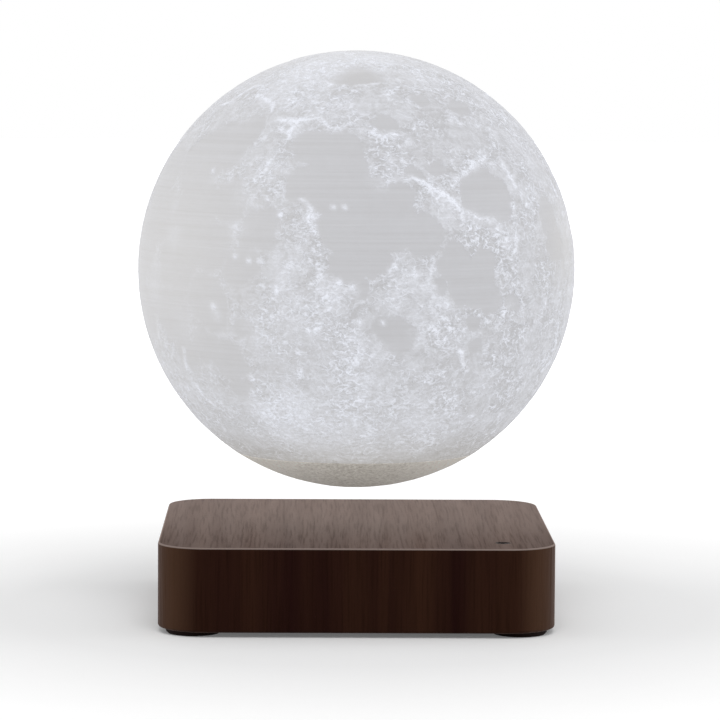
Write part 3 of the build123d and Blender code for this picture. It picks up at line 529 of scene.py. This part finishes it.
patch_swing = add(
    tree, "Math", {0: crumbs, 1: patch_crumb_gain, 2: patch_worms}, operation="MULTIPLY_ADD"
)
patch_grain = add(
    tree, "Math", {0: patch_swing, 1: rugged, 2: patch_lift}, operation="MULTIPLY_ADD"
)
land_tone = add(tree, "Math", {0: calm_rise, 1: land, 2: uneven}, operation="MULTIPLY_ADD")
patch_tone = add(tree, "Math", {0: gain, 1: patch_grain, 2: land_tone}, operation="MULTIPLY_ADD")
crest_grain = add(
    tree, "Math", {0: crumbs, 1: crest_crumb_gain, 2: crest_lift}, operation="MULTIPLY_ADD"
)
tone_sum = add(tree, "Math", {0: crest, 1: crest_grain, 2: patch_tone}, operation="MULTIPLY_ADD")
smoothness = add(tree, "MapRange", {0: rugged, 1: 1.0, 2: least_rugged})
ground_tone = add(
    tree, "Mix", {0: smoothness, 6: plain_tone, 7: smooth_tone}, data_type="RGBA"
).outputs[2]
skin = add(
    tree, "Mix", {0: tone_sum, 6: ground_tone, 7: bright_tone}, data_type="RGBA"
).outputs[2]
print("lift of the land", land_lift, "of a patch", patch_lift, "of a crest", crest_lift)

# %% Glow and fine relief of the print
dim_level, full_level = cap_top - 7 * mm, cap_top + 16 * mm
bump_gain, bump_depth = 1.6, 0.4 * mm
lit = add(
    tree, "MapRange", {0: height, 1: dim_level, 2: full_level}, interpolation_type="SMOOTHSTEP"
)
body_tone = add(
    tree, "Mix", {0: 1.0, 6: skin, 7: linear("969696")}, data_type="RGBA", blend_type="MULTIPLY"
).outputs[2]
warm_skin = add(
    tree, "Mix", {0: 1.0, 6: skin, 7: linear("E0DBD1")}, data_type="RGBA", blend_type="MULTIPLY"
).outputs[2]
glow_tone = add(tree, "Mix", {0: lit, 6: warm_skin, 7: skin}, data_type="RGBA").outputs[2]
relief_height = add(
    tree, "Math", {0: tone_sum, 1: bump_gain, 2: layers}, operation="MULTIPLY_ADD"
)
bump = add(tree, "Bump", {"Strength": 1.0, "Distance": bump_depth, "Height": relief_height})
tree.links.new(body_tone, shader.inputs["Base Color"])
tree.links.new(glow_tone, shader.inputs["Emission Color"])
tree.links.new(bump.outputs[0], shader.inputs["Normal"])
print("full glow from", round(full_level / mm, 1), "mm up")

# %% The globe
fineness = 119
globe, mouth = moon_skin(fineness, 1)
inner_radius = moon_radius - shell_wall
inner_rings, crown_turn = 36, math.pi / 2 - 0.02
lowest_turn = math.asin(seam / inner_radius)
inner_outline = [
    (inner_radius * math.cos(turn), moon_middle.z + inner_radius * math.sin(turn))
    for turn in np.linspace(lowest_turn, crown_turn, inner_rings)
]
draw_rings(globe, mouth, inner_outline)
finish_piece(globe, "moon_globe", moon_print, "moon", ["moon_shell"])

# %% [markdown]
# The cap under the moon is the same printed skin on a thick, nearly opaque moulding. Only a little
# of the lamp's light gets through, so it looks like warm grey stone with fine speckles. Painted
# light lightens its colour and glow towards its left and right sides, as in the photograph.

# %% Printed cap
cap_print, tree, shader = start_finish(
    "opaque_grey_pla_printed",
    {"Roughness": 0.7, "Specular IOR Level": 0.1, "Emission Strength": 0.34},
)
speckle_mm, speckle_depth = 1.1, 0.3 * mm
middle_reach, side_reach, side_light_share = 6 * mm, 28 * mm, 0.42
place = add(tree, "TexCoord").outputs["Object"]
speckle_noise = add(
    tree, "TexNoise",
    {"Vector": place, "Scale": per_metre(speckle_mm), "Detail": 4.0, "Roughness": 0.7,
     "Distortion": 0.5},
)
speckle = add(tree, "MapRange", {0: speckle_noise, 1: 0.32, 2: 0.68})
stone = add(
    tree, "Mix", {0: speckle, 6: linear("B0A99F"), 7: linear("EAE6DE")}, data_type="RGBA"
).outputs[2]
# Towards the cap's left and right sides its colour and glow grow lighter: painted light.
sideways = add(tree, "SeparateXYZ", {0: place}).outputs["X"]
off_middle = add(tree, "Math", {0: sideways}, operation="ABSOLUTE")
painted_side_light = add(tree, "MapRange", {0: off_middle, 1: middle_reach, 2: side_reach, 4: side_light_share})
stone_with_painted_light = add(
    tree, "Mix", {0: painted_side_light, 6: stone, 7: linear("F2EEE8")}, data_type="RGBA"
).outputs[2]
bump = add(tree, "Bump", {"Strength": 0.7, "Distance": speckle_depth, "Height": speckle_noise})
tree.links.new(stone_with_painted_light, shader.inputs["Base Color"])
tree.links.new(stone_with_painted_light, shader.inputs["Emission Color"])
tree.links.new(bump.outputs[0], shader.inputs["Normal"])
print("speckles at", speckle_mm, "mm")

# %% The cap and the bed of the magnet in it
cap, rim = moon_skin(fineness, -1)
magnet_low, magnet_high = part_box("floating_magnet")
magnet_gap, bed_width, boss_width, floor_hole = 0.3 * mm, 1.4 * mm, 10.0 * mm, 0.05 * mm
bed_radius = magnet_high.x + magnet_gap
bed_level = magnet_low.z - magnet_gap
bed_wall = bed_radius + bed_width
holder_seat = math.sqrt(moon_radius**2 - seam**2) - shell_wall - boss_width


def inner_level(radius):
    """Level of the cap's inner surface at a distance from the axis."""
    return moon_middle.z - math.sqrt(inner_radius**2 - radius**2)


cap_outline = [
    (holder_seat, cap_top), (holder_seat, inner_level(holder_seat)),
    (bed_wall, inner_level(bed_wall)), (bed_wall, cap_top), (bed_radius, cap_top),
    (bed_radius, bed_level), (floor_hole, bed_level),
]
draw_rings(cap, rim, cap_outline)
finish_piece(cap, "moon_cap_skin", cap_print, "moon", ["moon_cap"])

# %% [markdown]
# The base looks like walnut veneer under a thin satin lacquer. Its grain runs front to back on
# the top and straight down the sides, so the pattern follows the surface: one coordinate runs
# round the case or across its top, and the other runs along the grain. Both are worked out from
# Object coordinates and from which way the surface faces. Walnut is dark brown with slow bands of
# a centimetre or two, streaks and fibres a few millimetres wide or less, and fine dark pores.
#
# The photograph looks along the top at five degrees, where a lacquer would mirror the whole white
# room, and the top is only a little lighter than the front. So the gloss is off, and a warm sheen
# gives the pale bloom that a worn satin finish shows at a flat angle. The pores lie below it. The
# sheen grows from the front edge to just behind the middle: a painted reflection that lightens the
# back of the top. The upper edge carries a painted highlight, a thin light line, and the four round
# corners a painted highlight of lighter brown, as both catch the light in the photograph.

# %% Walnut veneer, satin lacquer
case_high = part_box("wooden_case")[1]
corner_radius, drift_mm, drift_reach = 16 * mm, 60, 5 * mm
turn_from, turn_full = 0.6, 0.8
corner_reach = case_high.x - corner_radius * (1 - math.sqrt(0.5))
walnut, tree, shader = start_finish(
    "walnut_veneer_satin_lacquer",
    {"Specular IOR Level": 0.0, "Sheen Roughness": 0.4, "Sheen Tint": linear("EBD5CB")},
)
coordinates = add(tree, "TexCoord")
spot = add(tree, "SeparateXYZ", {0: coordinates.outputs["Object"]})
facing = add(tree, "SeparateXYZ", {0: coordinates.outputs["Normal"]})
x, y, z = (spot.outputs[axis] for axis in "XYZ")
sideways = add(tree, "Math", {0: facing.outputs["X"]}, operation="ABSOLUTE")
upwards = add(tree, "Math", {0: facing.outputs["Z"]}, operation="ABSOLUTE")
on_side = add(
    tree, "MapRange", {0: sideways, 1: turn_from, 2: turn_full}, interpolation_type="SMOOTHSTEP"
)
on_top = add(
    tree, "MapRange", {0: upwards, 1: turn_from, 2: turn_full}, interpolation_type="SMOOTHSTEP"
)
right_or_left = add(tree, "Math", {0: facing.outputs["X"]}, operation="SIGN")
at_back = add(tree, "Math", {0: facing.outputs["Y"], 1: 0.0}, operation="GREATER_THAN")
past_corner = add(tree, "Math", {0: y, 1: 2 * corner_reach}, operation="ADD")
side_run = add(tree, "Math", {0: past_corner, 1: right_or_left}, operation="MULTIPLY")
back_run = add(tree, "Math", {0: 4 * corner_reach, 1: x}, operation="SUBTRACT")
long_run = add(tree, "Mix", {0: at_back, 2: x, 3: back_run})
wall_run = add(tree, "Mix", {0: on_side, 2: long_run, 3: side_run})
across = add(tree, "Mix", {0: on_top, 2: wall_run, 3: x})
down = add(tree, "Math", {0: z, 1: case_high.z + case_high.x}, operation="SUBTRACT")
along = add(tree, "Mix", {0: on_top, 2: down, 3: y})
grain_place = add(tree, "CombineXYZ", {0: across, 1: along})
slow_place = add(tree, "Mapping", {0: grain_place, 3: (1, 0.3, 1)})
drift = add(tree, "TexNoise", {"Vector": slow_place, "Scale": per_metre(drift_mm), "Detail": 1.0})
drift_shift = add(
    tree, "Math", {0: drift, 1: drift_reach, 2: -drift_reach / 2}, operation="MULTIPLY_ADD"
)
drifted = add(tree, "Math", {0: across, 1: drift_shift}, operation="ADD")
veneer = add(tree, "CombineXYZ", {0: drifted, 1: along})
print("corner reach in mm", round(corner_reach / mm, 2))

# %% Bands, fibres and pores of the walnut
streak_tint, fibre_tint, pore_tint = 0.35, 0.15, 0.3
patterns = {}
for name, size_mm, length_share, detail, low, high in (
    ("bands", 14, 0.03, 2.0, 0.36, 0.64),
    ("streaks", 4.5, 0.03, 2.0, 0.35, 0.65),
    ("fibres", 1.6, 0.03, 3.0, 0.3, 0.7),
    ("pores", 0.8, 0.03, 2.0, 0.48, 0.68),
    ("ripples", 1.2, 0.3, 3.0, 0.3, 0.7),
):
    drawn = add(tree, "Mapping", {0: veneer, 3: (1, length_share, 1)})
    noise_inputs = {"Vector": drawn, "Scale": per_metre(size_mm), "Detail": detail}
    grain = add(tree, "TexNoise", noise_inputs)
    patterns[name] = add(tree, "MapRange", {0: grain, 1: low, 2: high})
ground = add(
    tree, "Mix", {0: patterns["bands"], 6: linear("210E0D"), 7: linear("331E15")}, data_type="RGBA"
).outputs[2]
streaked_share = add(tree, "Math", {0: patterns["streaks"], 1: streak_tint}, operation="MULTIPLY")
streaked = add(
    tree, "Mix", {0: streaked_share, 6: ground, 7: linear("1F0D09")}, data_type="RGBA"
).outputs[2]
fibre_share = add(tree, "Math", {0: patterns["fibres"], 1: fibre_tint}, operation="MULTIPLY")
fibred = add(
    tree, "Mix", {0: fibre_share, 6: streaked, 7: linear("382214")}, data_type="RGBA"
).outputs[2]
pore_share = add(tree, "Math", {0: patterns["pores"], 1: pore_tint}, operation="MULTIPLY")
pored = add(
    tree, "Mix", {0: pore_share, 6: fibred, 7: linear("150906")}, data_type="RGBA"
).outputs[2]
print("walnut patterns", ", ".join(patterns))

# %% Painted highlights on the round corners and the upper edge
# Where the corners bend from front to side they are painted a lighter brown: a painted highlight
# where they catch the light.
highlight_from, highlight_full, highlight_tint = 0.15, 0.5, 0.45
turned = add(tree, "Math", {0: facing.outputs["X"], 1: facing.outputs["Y"]}, operation="MULTIPLY")
bent_round = add(tree, "Math", {0: turned}, operation="ABSOLUTE")
corner_highlight_share = add(tree, "MapRange", {0: bent_round, 1: highlight_from, 2: highlight_full, 4: highlight_tint})
corner_highlit = add(
    tree, "Mix", {0: corner_highlight_share, 6: pored, 7: linear("59402F")}, data_type="RGBA"
).outputs[2]
# The thin light line on the eased upper edge is a painted highlight.
line_low, line_full = case_high.z - 0.6 * mm, case_high.z - 0.4 * mm
line_top, line_end = case_high.z - 0.05 * mm, case_high.z - 0.01 * mm
eased_edge = add(tree, "MapRange", {0: z, 1: line_low, 2: line_full})
under_top = add(tree, "MapRange", {0: z, 1: line_end, 2: line_top})
edge_share = add(tree, "Math", {0: eased_edge, 1: under_top}, operation="MULTIPLY")
highlit = add(
    tree, "Mix", {0: edge_share, 6: corner_highlit, 7: linear("857771")}, data_type="RGBA"
).outputs[2]
print("the rubbed line in mm", round((line_top - line_full) / mm, 2))

# %% Sheen and fine relief of the walnut
least_sheen, most_sheen, sheen_reach, pore_loss, streak_sheen = 0.32, 0.6, 20 * mm, -0.1, 0.09
ripple_swell, pore_drop, grain_depth = 0.4, -1.2, 0.07 * mm
rough_between, rough_on_fibre = 0.5, 0.42
# The sheen weight grows from the front edge to just behind the middle: a painted reflection that
# lightens the back of the top.
sheen_and_painted_reflection = add(
    tree, "MapRange", {0: y, 1: -case_high.x, 2: sheen_reach, 3: least_sheen, 4: most_sheen},
    interpolation_type="SMOOTHSTEP",
)
pore_sheen = add(
    tree, "Math", {0: patterns["pores"], 1: pore_loss, 2: sheen_and_painted_reflection}, operation="MULTIPLY_ADD"
)
wood_sheen = add(
    tree, "Math", {0: patterns["streaks"], 1: streak_sheen, 2: pore_sheen},
    operation="MULTIPLY_ADD",
)
wood_rough = add(tree, "MapRange", {0: patterns["fibres"], 3: rough_between, 4: rough_on_fibre})
swell = add(
    tree, "Math", {0: patterns["ripples"], 1: ripple_swell, 2: patterns["fibres"]},
    operation="MULTIPLY_ADD",
)
hollows = add(
    tree, "Math", {0: patterns["pores"], 1: pore_drop, 2: swell}, operation="MULTIPLY_ADD"
)
bump = add(tree, "Bump", {"Strength": 0.6, "Distance": grain_depth, "Height": hollows})
tree.links.new(highlit, shader.inputs["Base Color"])
tree.links.new(wood_rough.outputs[0], shader.inputs["Roughness"])
tree.links.new(wood_sheen.outputs[0], shader.inputs["Sheen Weight"])
tree.links.new(bump.outputs[0], shader.inputs["Normal"])
print("sheen", least_sheen, "at the front,", most_sheen, "from", round(sheen_reach / mm), "mm back")

# %% [markdown]
# Most other parts are small mouldings, chips, coils and fasteners. Each has a two-tone grain at
# the size of its own process, such as spark texture on ABS or the turns of a winding, and a bump
# that goes with it. One function makes such a finish from the real part's facts.

# %% Finishes of the parts inside and below
def two_tone(
    name, tones, grain_mm, rough, metal=0.0, stretch=(1, 1, 1), deep_mm=0.02, gloss=0.5
):
    """Material with two close tones in a grain of a given size, and a bump to match."""
    material, tree, shader = start_finish(
        name, {"Roughness": rough, "Metallic": metal, "Specular IOR Level": gloss}
    )
    place = add(tree, "TexCoord").outputs["Object"]
    aligned = add(tree, "Mapping", {0: place, 3: stretch})
    grain = add(
        tree, "TexNoise", {"Vector": aligned, "Scale": per_metre(grain_mm), "Detail": 3.0}
    )
    share = add(tree, "MapRange", {0: grain, 1: 0.35, 2: 0.65})
    dark, pale = linear(tones[0]), linear(tones[1])
    colour = add(tree, "Mix", {0: share, 6: dark, 7: pale}, data_type="RGBA")
    relief = add(tree, "Bump", {"Strength": 0.6, "Distance": deep_mm * mm, "Height": grain})
    tree.links.new(colour.outputs[2], shader.inputs["Base Color"])
    tree.links.new(relief.outputs[0], shader.inputs["Normal"])
    return material


finishes = {
    "walnut_case": walnut,
    "moon_print": moon_print,
    "moon_cap_print": cap_print,
    "black_abs": two_tone("black_abs_spark_textured", ("151516", "1D1D1F"), 0.5, 0.55),
    "black_rubber": two_tone("black_rubber_moulded", ("140906", "1C0F0A"), 0.7, 0.75, gloss=0.1),
    "zinc_screw": two_tone("zinc_plated_steel_turned", ("B4B6BA", "CDCFD2"), 0.4, 0.35, 1.0),
    "green_board": two_tone("green_solder_mask_on_glass_fibre", ("0D4A26", "125A30"), 1.2, 0.35),
    "black_chip": two_tone("black_epoxy_moulded", ("1C1C1D", "262627"), 0.3, 0.6),
    "ferrite_magnet": two_tone("grey_ferrite_sintered", ("2E2E30", "3E3E40"), 0.8, 0.65),
    "yoke_steel": two_tone("mild_steel_rolled", ("8C8D90", "A2A3A6"), 1.0, 0.4, 1.0, (0.1, 1, 1)),
    "grey_tray": two_tone("grey_nylon_moulded", ("8C8C8A", "999996"), 0.8, 0.5),
    "coil_core_iron": two_tone("soft_iron_turned", ("6E6E70", "848486"), 0.5, 0.45, 1.0),
    "white_bobbin": two_tone("white_pbt_moulded", ("D8D6CF", "E6E4DE"), 0.6, 0.5),
    "copper_winding": two_tone(
        "enamelled_copper_wound", ("A8521F", "D07A3C"), 0.35, 0.3, 1.0, (0.02, 0.02, 1), 0.08
    ),
    "header_plastic": two_tone("black_nylon_moulded", ("161617", "202022"), 0.4, 0.5),
    "capacitor_can": two_tone(
        "aluminium_can_drawn", ("C2C4C8", "D6D8DB"), 0.5, 0.3, 1.0, (1, 1, 0.1)
    ),
    "red_film": two_tone("red_epoxy_dipped", ("9A2018", "AE2B20"), 2.0, 0.3),
    "inductor_ferrite": two_tone("ferrite_pressed", ("3B3B3D", "4A4A4C"), 0.5, 0.55),
    "jack_plastic": two_tone("black_pbt_moulded", ("121213", "1B1B1C"), 0.5, 0.45),
    "nickel_pin": two_tone("nickel_plated_brass_turned", ("C9C4B8", "DAD6CC"), 0.3, 0.25, 1.0),
    "contact_bronze": two_tone("phosphor_bronze_stamped", ("B8864A", "CC9C60"), 0.5, 0.35, 1.0),
    "touch_inlay": two_tone("dark_brown_abs_inlay", ("1A110D", "261914"), 0.4, 0.5, gloss=0.02),
    "copper_foil": two_tone("copper_foil_rolled", ("B86A3E", "CE8458"), 0.8, 0.35, 1.0, (0.1, 1, 1)),
    "nickel_magnet": two_tone("nickel_plated_neodymium", ("B9B9BA", "CFCFD0"), 0.6, 0.22, 1.0),
    "white_holder": two_tone("white_abs_moulded", ("DCDCD8", "E8E8E4"), 0.7, 0.5),
    "ferrite_sheet": two_tone("ferrite_sheet_sintered", ("2C2C2D", "383839"), 0.5, 0.6),
    "white_board": two_tone("white_solder_mask_on_aluminium", ("E2E4E2", "EEF0EE"), 1.0, 0.35),
    "white_led": two_tone("phosphor_in_silicone_cool", ("F2E88C", "F8F0A4"), 0.4, 0.3),
    "warm_led": two_tone("phosphor_in_silicone_warm", ("F0A63C", "F6B552"), 0.4, 0.3),
}
for part in frame["record"]["subparts"]:
    for material_slot in frame["nodes"][part["node"]].material_slots:
        material_slot.material = finishes[part["material_slot"]]
print("finishes", len(finishes))

# %% [markdown]
# The lamp stands on a plain pale floor in soft studio light: a wide key lamp above the camera, a
# low lamp on each side for the corners, one behind for the top, and a pale room all round. The room
# is white to the camera and in reflections, and the floor keeps the lamp's soft shadow.

# %% Floor
def backdrop_rays(tree):
    """1 for the rays that see the backdrop: the camera's, and those off gloss or through glass."""
    path = add(tree, "LightPath")
    seen = add(
        tree, "Math", {0: path.outputs["Is Camera Ray"], 1: path.outputs["Is Glossy Ray"]},
        operation="MAXIMUM",
    )
    return add(tree, "Math", {0: seen, 1: path.outputs["Is Transmission Ray"]}, operation="MAXIMUM")


floor_reach, shadow_reach, white_reach, shadow_glow = 6.0, 0.12, 0.7, 0.12
floor_mesh = bpy.data.meshes.new("floor")
slab = bmesh.new()
bmesh.ops.create_grid(slab, x_segments=1, y_segments=1, size=floor_reach)
slab.to_mesh(floor_mesh)
slab.free()
floor = bpy.data.objects.new("floor", floor_mesh)
bpy.context.scene.collection.objects.link(floor)
floor_finish, tree, shader = start_finish(
    "matt_white_studio_floor",
    {"Roughness": 0.9, "Base Color": linear("E4E4E4"), "Emission Color": linear("FFFFFF")},
)
away = add(tree, "VectorMath", {0: add(tree, "TexCoord").outputs["Object"]}, operation="LENGTH")
fade = add(
    tree, "MapRange",
    {0: away.outputs["Value"], 1: shadow_reach, 2: white_reach, 3: shadow_glow, 4: 1.0},
)
floor_glow = add(tree, "Math", {0: backdrop_rays(tree), 1: fade}, operation="MULTIPLY")
tree.links.new(floor_glow.outputs[0], shader.inputs["Emission Strength"])
floor_mesh.materials.append(floor_finish)
print("the floor is", 2 * floor_reach, "m wide")

# %% Room and lamps
room_light, lamp_middle = 0.5, Vector((0, 0, 0.1))
world = bpy.data.worlds.new("studio")
bpy.context.scene.world = world
world.use_nodes = True
tree = world.node_tree
tree.nodes.clear()
room_power = add(tree, "MapRange", {0: backdrop_rays(tree), 3: room_light, 4: 1.0})
room = add(tree, "Background", {"Color": linear("FFFFFF"), "Strength": room_power})
add(tree, "OutputWorld", {"Surface": room.outputs[0]})


def studio_lamp(name, place, size, watts):
    """Square area lamp that points at the middle of the moon lamp."""
    light = bpy.data.lights.new(name, "AREA")
    light.size, light.energy = size, watts
    holder = bpy.data.objects.new(name, light)
    holder.location = place
    aim = lamp_middle - Vector(place)
    holder.rotation_euler = aim.to_track_quat("-Z", "Y").to_euler()
    bpy.context.scene.collection.objects.link(holder)


studio_lamp("key", (0.1, -1.0, 1.6), 1.0, 12)
studio_lamp("right", (1.6, 0.1, 0.4), 0.9, 6.5)
studio_lamp("left", (-1.6, 0.0, 0.4), 0.9, 5.0)
studio_lamp("rear", (0.0, 1.9, 0.5), 1.8, 6)
bpy.context.scene.view_settings.view_transform = "Standard"
